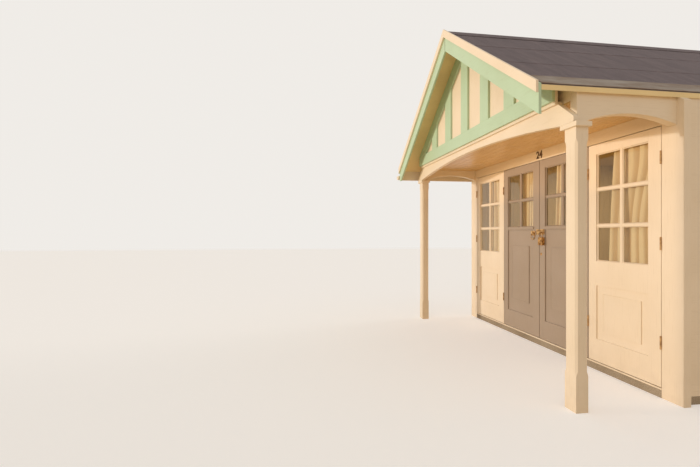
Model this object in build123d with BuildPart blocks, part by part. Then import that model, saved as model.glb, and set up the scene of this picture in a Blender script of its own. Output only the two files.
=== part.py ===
from build123d import *
import os
from math import cos, radians, tan

os.makedirs("parts", exist_ok=True)

# A timber beach hut from a row: one room with a veranda and an arched front.
# Millimetres. X runs along the row, Y runs from the veranda to the back wall, Z is up.
# The origin is on the level ground, below the middle of the room.

# Plan of the hut
hut_width = 3300.0
room_depth = 2440.0
veranda_depth = 828.0
base_height = 60.0
floor_thickness = 18.0
sill_thickness = 14.0

# Roof
roof_pitch = 34.0
roof_rise_over_fascia = 102.0
deck_thickness = 30.0
covering_thickness = 8.0
left_overhang = 140.0
back_overhang = 60.0
ridge_strip_width = 150.0
ridge_strip_thickness = 8.0
mitre_gap = 0.5

# Walls
wall_thickness = 100.0
end_post_width = 185.0
end_post_depth = 60.0

# Front posts and their caps
post_width = 120.0
post_depth = 94.0
post_chamfer = 14.0
chamfer_bottom = 285.0
chamfer_top_margin = 111.0
chamfer_run_out = 30.0
cap_height = 34.0
cap_projection = 20.0
cap_back_projection = 9.0
cap_side_projection = 28.0
cap_splay = 2.0

# Arched fascia with the cornice that carries the gable
fascia_thickness = 45.0
fascia_rise = 106.0
fascia_crown_depth = 85.0
fascia_cover = 35.0
shoulder_inset = 120.0
shoulder_drop = 14.0
shoulder_pitch = 37.5
nose_radius = 14.0
cornice_height = 25.0
cornice_projection = 22.0
cornice_overrun = 10.0

# Arched beams over the sides of the veranda
beam_thickness = 70.0
beam_seat = 16.0
beam_rise = 64.0

# Gable
panel_thickness = 22.0
stud_thickness = 22.0
stud_width = 170.0
stud_count = 5
stud_end_gap = 261.0
rail_height = 135.0
rake_depth = 222.0
ceiling_thickness = 16.0

# Verge in front of the gable
verge_reach = 218.0
barge_thickness = 22.0
barge_depth = 213.0
barge_foot_drop = 175.0
verge_strip_thickness = 20.0
verge_strip_rise = 20.0
verge_strip_depth = 85.0
back_barge_depth = 150.0

# Eaves board and gutter on the left
eaves_board_thickness = 20.0
eaves_board_depth = 166.0
gutter_radius = 55.0
gutter_wall = 3.0
gutter_drop = 97.0
gutter_nose = 15.0
bracket_width = 25.0
bracket_thickness = 3.0
bracket_count = 5
bracket_strap = 40.0
seat_gap = 0.3

# Lead lining of the valley along the party wall
lining_width = 170.0
lining_thickness = 3.0

# Door row: four leaves between the end posts
leaf_height = 1982.0
leaf_thickness = 40.0
foot_gap = 6.0
head_gap = 6.0
head_height = 112.0
side_gap = 4.0
hinge_gap = 5.0
meeting_gap = 8.0
stop_gap = 5.0
stop_drop = 18.0
stile_width = 117.0
rebated_stile_width = 97.0
bar_width = 22.0
side_rows = 3
door_rows = 2
panel_recess = 12.0
field_rise = 8.0

# Rails of a leaf and the fielded panel between them
bottom_rail = 206.0
top_rail = 90.0
side_panel_height = 486.0
side_mid_rail = 226.0
door_panel_height = 1003.0
door_mid_rail = 37.0
side_field_margin = 70.0
door_field_margin = 92.0
door_field_foot = 144.0
door_field_head = 193.0
bar_recess = 8.0
moulding_height = 27.0
moulding_projection = 10.0
moulding_overrun = 12.0

# Glass and curtains
glass_thickness = 4.0
glass_depth = 18.0
glass_clearance = 0.3
rod_diameter = 8.0
rod_rise = 20.0
rod_reach = 22.0
rod_margin = 25.0
rod_eye_width = 10.0
curtain_thickness = 20.0
curtain_clearance = 0.4
curtain_overlap = 15.0
right_curtain_share = 0.84
left_curtain_share = 0.7
door_left_curtain_share = 0.52
door_right_curtain_share = 0.8

# Hinges
hinge_length = 100.0
knuckle_radius = 6.0
knuckle_proud = 6.3
knuckle_count = 5
knuckle_gap = 0.5
plate_depth = 32.0
plate_thickness = 2.2
side_hinge_foot = 340.0
side_hinge_middle = 1092.0
side_hinge_head = 236.0
door_hinge_foot = 350.0
door_hinge_head = 262.0

# Hasp, padlock and ring pull
hasp_width = 88.0
hasp_height = 60.0
hasp_thickness = 3.0
hasp_drop = 4.0
hasp_inset = 4.0
hasp_plate_width = 50.0
staple_share = 0.62
staple_wire = 7.0
staple_reach = 40.0
staple_rise = 30.0
padlock_width = 74.0
padlock_height = 88.0
padlock_thickness = 32.0
padlock_corner = 10.0
shackle_wire = 9.0
shackle_width = 48.0
shackle_height = 60.0
pull_plate_width = 88.0
pull_plate_height = 54.0
pull_plate_thickness = 4.0
pull_plate_corner = 10.0
pull_drop = 13.0
pull_ring_radius = 38.0
pull_ring_wire = 8.0
pull_ring_drop = 36.0
pull_inset = 114.0

# Places that follow from the sizes above
slope = tan(radians(roof_pitch))
upright = 1 / cos(radians(roof_pitch))
covering_drop = covering_thickness * upright
deck_drop = (covering_thickness + deck_thickness) * upright
half_width = hut_width / 2
wall_face = -room_depth / 2
back_face = room_depth / 2
door_plane_back = wall_face + end_post_depth
post_face = wall_face - veranda_depth
fascia_face = post_face - cap_projection
fascia_back = fascia_face + fascia_thickness
panel_face = fascia_face - panel_thickness
stud_face = panel_face - stud_thickness
barge_face = stud_face - verge_reach
barge_back = barge_face + barge_thickness
strip_face = barge_face - verge_strip_thickness
verge_back = back_face + back_overhang
left_wall_out = -(half_width + wall_thickness / 2)
left_wall_in = left_wall_out + wall_thickness
party_wall_in = half_width - wall_thickness / 2
party_wall_out = party_wall_in + wall_thickness
row_half = half_width - end_post_width / 2
post_line = half_width
cap_half = post_width / 2 + cap_side_projection
fascia_half = post_line + post_width / 2
left_end = -(half_width + left_overhang)
barge_left_end = left_end - eaves_board_thickness
right_end = fascia_half
shoulder_start = post_line - shoulder_inset
cornice_half_length = shoulder_start + cornice_overrun

# Heights, from the base up through the door row to the ridge
floor_top = base_height + floor_thickness
sill_height = base_height + sill_thickness
leaf_bottom = sill_height + foot_gap
leaf_top = leaf_bottom + leaf_height
head_bottom = leaf_top + head_gap
ceiling_height = head_bottom + head_height
fascia_top = ceiling_height + fascia_cover
cap_top = fascia_top - fascia_crown_depth - fascia_rise
post_height = cap_top - cap_height
chamfer_top = post_height - chamfer_top_margin
shoulder_height = fascia_top - shoulder_drop
beam_spring = cap_top + beam_seat
beam_crown = beam_spring + beam_rise
rail_top = fascia_top + rail_height
ridge_height = fascia_top + roof_rise_over_fascia + half_width * slope
panel_bottom = leaf_bottom + bottom_rail
side_panel_top = panel_bottom + side_panel_height
side_glazing_bottom = side_panel_top + side_mid_rail
door_panel_top = panel_bottom + door_panel_height
door_glazing_bottom = door_panel_top + door_mid_rail
glazing_top = leaf_top - top_rail
rod_height = glazing_top + rod_rise
hasp_level = door_glazing_bottom - moulding_height - hasp_drop - hasp_height / 2
pull_level = hasp_level - pull_drop

beam_in = post_line - beam_thickness / 2
beam_out = post_line + beam_thickness / 2
cap_back = post_face + post_depth + cap_back_projection
opening_half = row_half - side_gap
leaf_pitch = opening_half / 2
hinge_x = leaf_pitch
leaf_face = wall_face
leaf_back = leaf_face + leaf_thickness
hinge_y = leaf_face - knuckle_proud


def roof_line(x, drop):
    """Height of the line that lies drop below the roof surface, at x."""
    return ridge_height - abs(x) * slope - drop


def slope_x(height, drop):
    """Distance from the middle where that line comes down to a height."""
    return (ridge_height - drop - height) / slope


def front_plane(y):
    """Upright plane across the hut at y, seen from the veranda side."""
    return Plane(origin=(0, y, 0), x_dir=(1, 0, 0), z_dir=(0, -1, 0))


def side_plane(x):
    """Upright plane along the hut at x."""
    return Plane(origin=(x, 0, 0), x_dir=(0, 1, 0), z_dir=(1, 0, 0))


def board(points, y, thickness):
    """Board with an outline in X and Z, standing from y back by a thickness."""
    with BuildPart() as piece:
        with BuildSketch(front_plane(y)):
            with BuildLine():
                Polyline(*points, close=True)
            make_face()
        extrude(amount=-thickness)
    return piece.part


def block(x0, x1, y0, y1, z0, z1):
    """Square-edged piece between two corners."""
    with BuildPart() as piece:
        with BuildSketch(Plane.XY.offset(z0)):
            with Locations(((x0 + x1) / 2, (y0 + y1) / 2)):
                Rectangle(x1 - x0, y1 - y0)
        extrude(amount=z1 - z0)
    return piece.part


def save(piece, name):
    """Label a piece and write it to its own file."""
    piece.label = name
    export_step(piece, "parts/" + name + ".step")


# Concrete base, cut back between the end posts, which stand on the ground
with BuildPart() as base_slab:
    with BuildSketch(Plane.XY):
        with BuildLine():
            Polyline(
                (left_wall_out, door_plane_back), (-row_half, door_plane_back),
                (-row_half, wall_face), (row_half, wall_face),
                (row_half, door_plane_back), (party_wall_out, door_plane_back),
                (party_wall_out, back_face), (left_wall_out, back_face), close=True)
        make_face()
    extrude(amount=base_height)
save(base_slab.part, "base_slab")

# Floor boards of the room
with BuildPart() as floor_boards:
    add(block(left_wall_in, party_wall_in, door_plane_back, back_face - wall_thickness,
              base_height, floor_top))
save(floor_boards.part, "floor_boards")

# Timber sill below the door row
with BuildPart() as door_sill:
    add(block(-row_half, row_half, wall_face, door_plane_back, base_height, sill_height))
save(door_sill.part, "door_sill")


# End posts of the door row, cut to the roof at the top
def end_post(side):
    """Post beside the door row, on the left (-1) or the right (1)."""
    inner = side * row_half
    outer = side * (row_half + end_post_width)
    return board([(inner, 0), (outer, 0), (outer, roof_line(outer, deck_drop)),
                  (inner, roof_line(inner, deck_drop))], wall_face, end_post_depth)


with BuildPart() as end_post_left:
    add(end_post(-1))
save(end_post_left.part, "end_post_left")

with BuildPart() as end_post_right:
    add(end_post(1))
save(end_post_right.part, "end_post_right")

# Head over the door row with the stop that the leaves close against
with BuildPart() as door_head:
    with BuildSketch(side_plane(-row_half)):
        with BuildLine():
            Polyline(
                (wall_face, head_bottom), (wall_face, ceiling_height),
                (door_plane_back, ceiling_height), (door_plane_back, leaf_top - stop_drop),
                (leaf_back + stop_gap, leaf_top - stop_drop),
                (leaf_back + stop_gap, head_bottom), close=True)
        make_face()
    extrude(amount=2 * row_half)
save(door_head.part, "door_head")

# Front wall above the head, up to the roof
with BuildPart() as front_wall_gable:
    add(board([(-row_half, ceiling_height), (row_half, ceiling_height),
               (row_half, roof_line(row_half, deck_drop)), (0, roof_line(0, deck_drop)),
               (-row_half, roof_line(row_half, deck_drop))], wall_face, end_post_depth))
save(front_wall_gable.part, "front_wall_gable")


# Side walls, their tops cut to the slope of the roof
def side_wall(x0, x1):
    """Wall from the door row to the back wall, between x0 and x1."""
    return board([(x0, base_height), (x1, base_height), (x1, roof_line(x1, deck_drop)),
                  (x0, roof_line(x0, deck_drop))],
                 door_plane_back, back_face - wall_thickness - door_plane_back)


with BuildPart() as side_wall_left:
    add(side_wall(left_wall_out, left_wall_in))
save(side_wall_left.part, "side_wall_left")

with BuildPart() as party_wall_right:
    add(side_wall(party_wall_in, party_wall_out))
save(party_wall_right.part, "party_wall_right")

# Back wall with its gable
with BuildPart() as back_wall:
    add(board([(left_wall_out, base_height), (party_wall_out, base_height),
               (party_wall_out, roof_line(party_wall_out, deck_drop)),
               (0, roof_line(0, deck_drop)),
               (left_wall_out, roof_line(left_wall_out, deck_drop))],
              back_face - wall_thickness, wall_thickness))
save(back_wall.part, "back_wall")


# Front posts with chamfers that stop short of the ground and of the cap
def front_post(x):
    """Square post with stopped chamfers on its four edges."""
    side = post_chamfer * 2 ** 0.5
    with BuildPart() as piece:
        with BuildSketch(Plane.XY):
            with Locations((x, post_face + post_depth / 2)):
                Rectangle(post_width, post_depth)
        extrude(amount=post_height)
        with BuildSketch(Plane.XY.offset(chamfer_bottom)):
            with Locations((x, post_face + post_depth / 2)):
                with GridLocations(post_width, post_depth, 2, 2):
                    Rectangle(side, side, rotation=45)
        extrude(amount=chamfer_top - chamfer_bottom, mode=Mode.SUBTRACT)
        for level, way in ((chamfer_bottom, -1), (chamfer_top, 1)):
            for dx in (-post_width / 2, post_width / 2):
                for dy in (-post_depth / 2, post_depth / 2):
                    with BuildSketch(Plane.XY.offset(level)) as wide:
                        with Locations((x + dx, post_face + post_depth / 2 + dy)):
                            Rectangle(side, side, rotation=45)
                    with BuildSketch(Plane.XY.offset(level + way * chamfer_run_out)) as narrow:
                        with Locations((x + dx, post_face + post_depth / 2 + dy)):
                            Rectangle(side / 20, side / 20, rotation=45)
                    loft(sections=[wide.sketch, narrow.sketch], mode=Mode.SUBTRACT)
    return piece.part


with BuildPart() as front_post_left:
    add(front_post(-post_line))
save(front_post_left.part, "front_post_left")

with BuildPart() as front_post_right:
    add(front_post(post_line))
save(front_post_right.part, "front_post_right")

# Square caps on the posts, splayed on the underside
with BuildPart() as post_caps:
    for x in (-post_line, post_line):
        add(block(x - cap_half, x + cap_half, fascia_face, cap_back, post_height, cap_top))
    chamfer(post_caps.faces().group_by(Axis.Z)[0].edges(), cap_splay)
save(post_caps.part, "post_caps")

# Arched fascia from cap to cap, with sloping shoulders under the roof
spring_half = post_line - cap_half
shoulder_end = shoulder_height - (fascia_half - shoulder_start) * tan(radians(shoulder_pitch))
with BuildPart() as front_fascia_arch:
    with BuildSketch(front_plane(fascia_face)) as fascia_outline:
        with BuildLine():
            ThreePointArc((-spring_half, cap_top), (0, cap_top + fascia_rise),
                          (spring_half, cap_top))
            Polyline((spring_half, cap_top), (fascia_half, cap_top),
                     (fascia_half, shoulder_end), (shoulder_start, shoulder_height),
                     (shoulder_start, fascia_top), (-shoulder_start, fascia_top),
                     (-shoulder_start, shoulder_height), (-fascia_half, shoulder_end),
                     (-fascia_half, cap_top), (-spring_half, cap_top))
        make_face()
        fillet(fascia_outline.vertices().group_by(Axis.X)[0], nose_radius)
        fillet(fascia_outline.vertices().group_by(Axis.X)[-1], nose_radius)
    extrude(amount=-fascia_thickness)
save(front_fascia_arch.part, "front_fascia_arch")

# Cornice below the gable: a square fillet
with BuildPart() as fascia_cornice:
    add(block(-cornice_half_length, cornice_half_length, fascia_face - cornice_projection,
              fascia_face, fascia_top - cornice_height, fascia_top))
save(fascia_cornice.part, "fascia_cornice")


# Arched beams over the open sides of the veranda
def side_beam(x0):
    """Beam from the fascia to the front wall, arched below, cut to the roof above."""
    blank_top = roof_line(beam_in, 0)
    with BuildPart() as piece:
        with BuildSketch(side_plane(x0)):
            with BuildLine():
                Polyline((cap_back, beam_spring), (cap_back, cap_top), (fascia_back, cap_top),
                         (fascia_back, blank_top), (wall_face, blank_top),
                         (wall_face, beam_spring))
                ThreePointArc((wall_face, beam_spring),
                              ((wall_face + cap_back) / 2, beam_crown),
                              (cap_back, beam_spring))
            make_face()
        extrude(amount=beam_thickness)
        near = x0
        far = x0 + beam_thickness
        with BuildSketch(front_plane(fascia_back)):
            with BuildLine():
                Polyline((near, roof_line(near, deck_drop)), (far, roof_line(far, deck_drop)),
                         (far, ridge_height), (near, ridge_height), close=True)
            make_face()
        extrude(amount=-(wall_face - fascia_back), mode=Mode.SUBTRACT)
    return piece.part


with BuildPart() as side_beam_left:
    add(side_beam(-beam_out))
save(side_beam_left.part, "side_beam_left")

with BuildPart() as side_beam_right:
    add(side_beam(beam_in))
save(side_beam_right.part, "side_beam_right")

# Boarded ceiling of the veranda
with BuildPart() as veranda_ceiling:
    add(block(-beam_in, beam_in, fascia_back, wall_face, ceiling_height,
              ceiling_height + ceiling_thickness))
save(veranda_ceiling.part, "veranda_ceiling")

# Boards that close the roof space behind the fascia
backing_bottom = ceiling_height + ceiling_thickness
with BuildPart() as gable_backing:
    add(board([(-beam_in, backing_bottom), (beam_in, backing_bottom),
               (beam_in, roof_line(beam_in, deck_drop)), (0, roof_line(0, deck_drop)),
               (-beam_in, roof_line(beam_in, deck_drop))], fascia_back, panel_thickness))
save(gable_backing.part, "gable_backing")

# White panel of the gable, standing on the cornice
panel_half = min(cornice_half_length, slope_x(fascia_top, deck_drop))
with BuildPart() as gable_panel:
    add(board([(-panel_half, fascia_top), (panel_half, fascia_top),
               (panel_half, roof_line(panel_half, deck_drop)), (0, roof_line(0, deck_drop)),
               (-panel_half, roof_line(panel_half, deck_drop))], panel_face, panel_thickness))
save(gable_panel.part, "gable_panel")

# Bottom rail of the gable frame
rail_top_half = slope_x(rail_top, deck_drop)
rail_end = roof_line(panel_half, deck_drop)
with BuildPart() as gable_bottom_rail:
    add(board([(-panel_half, fascia_top), (panel_half, fascia_top),
               (panel_half, rail_end), (rail_top_half, rail_top),
               (-rail_top_half, rail_top), (-panel_half, rail_end)],
              stud_face, stud_thickness))
save(gable_bottom_rail.part, "gable_bottom_rail")

# Raking boards of the gable frame, mitred at the apex
with BuildPart() as gable_rake_boards:
    for side in (-1, 1):
        add(board([(side * mitre_gap, roof_line(mitre_gap, deck_drop)),
                   (side * rail_top_half, rail_top),
                   (side * slope_x(rail_top, rake_depth), rail_top),
                   (side * mitre_gap, roof_line(mitre_gap, rake_depth))],
                  stud_face, stud_thickness))
save(gable_rake_boards.part, "gable_rake_boards")

# Upright studs of the gable frame, their tops cut to the raking boards
stud_pitch = (2 * (slope_x(rail_top, rake_depth) - stud_end_gap) - stud_width) / (stud_count - 1)
with BuildPart() as gable_studs:
    for i in range(stud_count):
        x = (i - (stud_count - 1) / 2) * stud_pitch
        x0 = x - stud_width / 2
        x1 = x + stud_width / 2
        top = [(x1, roof_line(x1, rake_depth))]
        if x0 < 0 < x1:
            top.append((0, roof_line(0, rake_depth)))
        top.append((x0, roof_line(x0, rake_depth)))
        add(board([(x0, rail_top), (x1, rail_top)] + top, stud_face, stud_thickness))
save(gable_studs.part, "gable_studs")

# Roof deck: boards on rafters, one slope to each side
roof_length = verge_back - barge_thickness - barge_back
with BuildPart() as roof_slope_left:
    add(board([(0, roof_line(0, covering_drop)), (left_end, roof_line(left_end, covering_drop)),
               (left_end, roof_line(left_end, deck_drop)), (0, roof_line(0, deck_drop))],
              barge_back, roof_length))
save(roof_slope_left.part, "roof_slope_left")

with BuildPart() as roof_slope_right:
    add(board([(0, roof_line(0, covering_drop)),
               (right_end, roof_line(right_end, covering_drop)),
               (right_end, roof_line(right_end, deck_drop)), (0, roof_line(0, deck_drop))],
              barge_back, roof_length))
save(roof_slope_right.part, "roof_slope_right")

# Roof covering, a thin skin on each slope
with BuildPart() as roof_covering:
    for side, end in ((-1, left_end), (1, right_end)):
        add(board([(side * mitre_gap, roof_line(mitre_gap, 0)), (end, roof_line(end, 0)),
                   (end, roof_line(end, covering_drop)),
                   (side * mitre_gap, roof_line(mitre_gap, covering_drop))],
                  barge_back, roof_length))
save(roof_covering.part, "roof_covering")

# Ridge strip folded over the two slopes
with BuildPart() as ridge_strip:
    lift = ridge_strip_thickness * upright
    add(board([(-ridge_strip_width, roof_line(ridge_strip_width, 0)), (0, roof_line(0, 0)),
               (ridge_strip_width, roof_line(ridge_strip_width, 0)),
               (ridge_strip_width, roof_line(ridge_strip_width, -lift)),
               (0, roof_line(0, -lift)),
               (-ridge_strip_width, roof_line(ridge_strip_width, -lift))],
              barge_back, roof_length))
save(ridge_strip.part, "ridge_strip")

# Barge boards at the front: plumb cuts at both ends, a level cut at the left foot
foot_level = roof_line(barge_left_end, barge_foot_drop)
with BuildPart() as barge_boards:
    add(board([(-mitre_gap, roof_line(mitre_gap, 0)),
               (barge_left_end, roof_line(barge_left_end, 0)), (barge_left_end, foot_level),
               (-slope_x(foot_level, barge_depth), foot_level),
               (-mitre_gap, roof_line(mitre_gap, barge_depth))], barge_face, barge_thickness))
    add(board([(mitre_gap, roof_line(mitre_gap, 0)), (right_end, roof_line(right_end, 0)),
               (right_end, roof_line(right_end, barge_depth)),
               (mitre_gap, roof_line(mitre_gap, barge_depth))], barge_face, barge_thickness))
save(barge_boards.part, "barge_boards")

# White strips that cap the barge boards
strip_bottom = verge_strip_depth - verge_strip_rise
with BuildPart() as verge_strips:
    for side, end in ((-1, barge_left_end), (1, right_end)):
        add(board([(side * mitre_gap, roof_line(mitre_gap, -verge_strip_rise)),
                   (end, roof_line(end, -verge_strip_rise)),
                   (end, roof_line(end, strip_bottom)),
                   (side * mitre_gap, roof_line(mitre_gap, strip_bottom))],
                  strip_face, verge_strip_thickness))
save(verge_strips.part, "verge_strips")

# Plain barge boards at the back
with BuildPart() as back_barge_boards:
    for side, end in ((-1, barge_left_end), (1, right_end)):
        add(board([(side * mitre_gap, roof_line(mitre_gap, 0)), (end, roof_line(end, 0)),
                   (end, roof_line(end, back_barge_depth)),
                   (side * mitre_gap, roof_line(mitre_gap, back_barge_depth))],
                  verge_back - barge_thickness, barge_thickness))
save(back_barge_boards.part, "back_barge_boards")

# Eaves board on the left, from barge board to barge board
eaves_top = roof_line(barge_left_end, 0)
eaves_board_bottom = eaves_top - eaves_board_depth
with BuildPart() as eaves_board_left:
    add(board([(barge_left_end, eaves_board_bottom), (left_end, eaves_board_bottom),
               (left_end, roof_line(left_end, 0)), (barge_left_end, eaves_top)],
              barge_back, roof_length))
save(eaves_board_left.part, "eaves_board_left")

# Half-round gutter with closed ends
bracket_in = gutter_radius + seat_gap
bracket_out = bracket_in + bracket_thickness
gutter_x = barge_left_end - bracket_out
gutter_height = eaves_top - gutter_drop
gutter_front = barge_face - gutter_nose
gutter_length = verge_back - gutter_front
with BuildPart() as gutter_left:
    with BuildSketch(front_plane(gutter_front)):
        with Locations((gutter_x, gutter_height)):
            Circle(gutter_radius)
            Circle(gutter_radius - gutter_wall, mode=Mode.SUBTRACT)
            Rectangle(2 * gutter_radius, gutter_radius, mode=Mode.SUBTRACT,
                      align=(Align.CENTER, Align.MIN))
    extrude(amount=-gutter_length)
    for y in (gutter_front, verge_back - gutter_wall):
        with BuildSketch(front_plane(y)):
            with Locations((gutter_x, gutter_height)):
                Circle(gutter_radius)
                Rectangle(2 * gutter_radius, gutter_radius, mode=Mode.SUBTRACT,
                          align=(Align.CENTER, Align.MIN))
        extrude(amount=-gutter_wall)
save(gutter_left.part, "gutter_left")

# Brackets that hold the gutter to the eaves board
bracket_pitch = (roof_length - 2 * bracket_width) / bracket_count
with BuildPart() as gutter_brackets:
    for i in range(bracket_count):
        y = barge_back + bracket_width + (i + 0.5) * bracket_pitch - bracket_width / 2
        with BuildSketch(front_plane(y)):
            with Locations((gutter_x, gutter_height)):
                Circle(bracket_out)
                Circle(bracket_in, mode=Mode.SUBTRACT)
                Rectangle(2 * bracket_out, bracket_out, mode=Mode.SUBTRACT,
                          align=(Align.CENTER, Align.MIN))
            with Locations((gutter_x + bracket_out, gutter_height)):
                Rectangle(bracket_thickness, bracket_strap, align=(Align.MAX, Align.MIN))
        extrude(amount=-bracket_width)
save(gutter_brackets.part, "gutter_brackets")

# Lead lining of the valley, dressed down over the edge of the covering
with BuildPart() as valley_lining:
    lining_in = right_end - lining_width
    lining_lift = lining_thickness * upright
    add(board([(lining_in, roof_line(lining_in, 0)), (right_end, roof_line(right_end, 0)),
               (right_end, roof_line(right_end, -lining_lift)),
               (lining_in, roof_line(lining_in, -lining_lift))],
              barge_back, roof_length))
save(valley_lining.part, "valley_lining")


# Leaves of the door row: stiles, rails, glazing bars and a fielded panel
def leaf(x0, x1, glass_bottom, rows, panel_top, field, moulded):
    """Panelled and glazed leaf between x0 and x1, with a sill moulding where moulded."""
    mid = (x0 + rebated_stile_width + x1 - stile_width) / 2
    light = x1 - x0 - rebated_stile_width - stile_width
    pane_w = (light - bar_width) / 2
    pane_h = (glazing_top - glass_bottom - (rows - 1) * bar_width) / rows
    field_x, field_low, field_high = field
    with BuildPart() as piece:
        add(block(x0, x1, leaf_face, leaf_back, leaf_bottom, leaf_top))
        with BuildSketch(front_plane(leaf_face)):
            with Locations((mid, (glazing_top + glass_bottom) / 2)):
                with GridLocations(pane_w + bar_width, pane_h + bar_width, 2, rows):
                    Rectangle(pane_w, pane_h)
        extrude(amount=-leaf_thickness, mode=Mode.SUBTRACT)
        with BuildSketch(front_plane(leaf_face)):
            with Locations((mid, (glazing_top + glass_bottom) / 2)):
                Rectangle(light, glazing_top - glass_bottom)
        extrude(amount=-bar_recess, mode=Mode.SUBTRACT)
        with BuildSketch(front_plane(leaf_face)):
            with Locations((mid, (panel_top + panel_bottom) / 2)):
                Rectangle(light, panel_top - panel_bottom)
        extrude(amount=-panel_recess, mode=Mode.SUBTRACT)
        with BuildSketch(front_plane(leaf_face + panel_recess)):
            with Locations((mid, (field_low + field_high) / 2)):
                Rectangle(light - 2 * field_x, field_high - field_low)
        extrude(amount=field_rise, taper=45)
        if moulded:
            add(block(mid - light / 2 - moulding_overrun, mid + light / 2 + moulding_overrun,
                      leaf_face - moulding_projection, leaf_face,
                      glass_bottom - moulding_height, glass_bottom))
    return piece.part


def panes(x0, x1, glass_bottom, rows):
    """Glass of one leaf, one sheet for each pane."""
    mid = (x0 + rebated_stile_width + x1 - stile_width) / 2
    light = x1 - x0 - rebated_stile_width - stile_width
    pane_w = (light - bar_width) / 2
    pane_h = (glazing_top - glass_bottom - (rows - 1) * bar_width) / rows
    with BuildPart() as piece:
        with BuildSketch(front_plane(leaf_face + glass_depth)):
            with Locations((mid, (glazing_top + glass_bottom) / 2)):
                with GridLocations(pane_w + bar_width, pane_h + bar_width, 2, rows):
                    Rectangle(pane_w - 2 * glass_clearance, pane_h - 2 * glass_clearance)
        extrude(amount=-glass_thickness)
    return piece.part


def curtain_rod(x0, x1):
    """Rod on two eyes across the glazing of a leaf, on the room side."""
    rod_y = leaf_back + rod_reach
    ends = (x0 + rebated_stile_width - rod_margin, x1 - stile_width + rod_margin)
    with BuildPart() as piece:
        with BuildSketch(side_plane(ends[0])):
            with Locations((rod_y, rod_height)):
                Circle(rod_diameter / 2)
        extrude(amount=ends[1] - ends[0])
        for x in (ends[0], ends[1] - rod_eye_width):
            add(block(x, x + rod_eye_width, leaf_back, rod_y, rod_height - rod_diameter / 2,
                      rod_height + rod_diameter / 2))
    return piece.part


def curtain(x0, x1, glass_bottom):
    """Space of a gathered curtain that hangs from the rod."""
    rod_y = leaf_back + rod_reach
    return block(x0, x1, rod_y - curtain_thickness / 2, rod_y + curtain_thickness / 2,
                 glass_bottom - curtain_overlap,
                 rod_height - rod_diameter / 2 - curtain_clearance)


side_field = (side_field_margin, panel_bottom + side_field_margin,
              side_panel_top - side_field_margin)
door_field = (door_field_margin, panel_bottom + door_field_foot,
              door_panel_top - door_field_head)
side_in = hinge_x + hinge_gap / 2
side_out = opening_half
door_in = meeting_gap / 2
door_out = hinge_x - hinge_gap / 2

with BuildPart() as side_leaf_left:
    add(leaf(-side_out, -side_in, side_glazing_bottom, side_rows, side_panel_top, side_field,
             False))
save(side_leaf_left.part, "side_leaf_left")

with BuildPart() as side_leaf_right:
    add(leaf(side_in, side_out, side_glazing_bottom, side_rows, side_panel_top, side_field,
             False))
save(side_leaf_right.part, "side_leaf_right")

with BuildPart() as door_leaf_left:
    add(leaf(-door_out, -door_in, door_glazing_bottom, door_rows, door_panel_top, door_field,
             True))
save(door_leaf_left.part, "door_leaf_left")

with BuildPart() as door_leaf_right:
    add(leaf(door_in, door_out, door_glazing_bottom, door_rows, door_panel_top, door_field,
             True))
save(door_leaf_right.part, "door_leaf_right")

with BuildPart() as side_glass:
    add(panes(-side_out, -side_in, side_glazing_bottom, side_rows))
    add(panes(side_in, side_out, side_glazing_bottom, side_rows))
save(side_glass.part, "side_glass")

with BuildPart() as door_glass_left:
    add(panes(-door_out, -door_in, door_glazing_bottom, door_rows))
save(door_glass_left.part, "door_glass_left")

with BuildPart() as door_glass_right:
    add(panes(door_in, door_out, door_glazing_bottom, door_rows))
save(door_glass_right.part, "door_glass_right")

with BuildPart() as side_curtain_rods:
    add(curtain_rod(-side_out, -side_in))
    add(curtain_rod(side_in, side_out))
save(side_curtain_rods.part, "side_curtain_rods")

with BuildPart() as door_curtain_rod_left:
    add(curtain_rod(-door_out, -door_in))
save(door_curtain_rod_left.part, "door_curtain_rod_left")

with BuildPart() as door_curtain_rod_right:
    add(curtain_rod(door_in, door_out))
save(door_curtain_rod_right.part, "door_curtain_rod_right")

# Curtains, drawn to the right-hand side of each leaf
side_light = side_out - side_in - rebated_stile_width - stile_width
door_light = door_out - door_in - rebated_stile_width - stile_width
side_curtain_width = right_curtain_share * side_light
left_curtain_width = left_curtain_share * side_light
door_left_curtain_width = door_left_curtain_share * door_light
door_right_curtain_width = door_right_curtain_share * door_light
with BuildPart() as side_curtains:
    right_edge = side_out - stile_width
    add(curtain(right_edge - side_curtain_width, right_edge, side_glazing_bottom))
    left_edge = -side_in - stile_width
    add(curtain(left_edge - left_curtain_width, left_edge, side_glazing_bottom))
save(side_curtains.part, "side_curtains")

with BuildPart() as door_curtain_left:
    add(curtain(-door_in - stile_width - door_left_curtain_width, -door_in - stile_width,
                door_glazing_bottom))
save(door_curtain_left.part, "door_curtain_left")

with BuildPart() as door_curtain_right:
    add(curtain(door_out - stile_width - door_right_curtain_width, door_out - stile_width,
                door_glazing_bottom))
save(door_curtain_right.part, "door_curtain_right")


# Butt hinges: knuckles in front of the joint, plates in it
knuckle_length = hinge_length / knuckle_count
side_hinge_heights = (leaf_bottom + side_hinge_foot, leaf_bottom + side_hinge_middle,
                      leaf_top - side_hinge_head)
door_hinge_heights = (leaf_bottom + door_hinge_foot, leaf_top - door_hinge_head)


def knuckles(x, height, which, shorten):
    """Knuckles of one hinge whose numbers are in which."""
    with BuildPart() as piece:
        for i in which:
            low = height - hinge_length / 2 + i * knuckle_length + shorten
            with BuildSketch(Plane.XY.offset(low)):
                with Locations((x, hinge_y)):
                    Circle(knuckle_radius)
            extrude(amount=knuckle_length - 2 * shorten)
    return piece.part


def plate(x0, x1, height):
    """Plate of a hinge half, on the edge of a leaf."""
    return block(x0, x1, hinge_y, leaf_face + plate_depth, height - hinge_length / 2,
                 height + hinge_length / 2)


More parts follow.
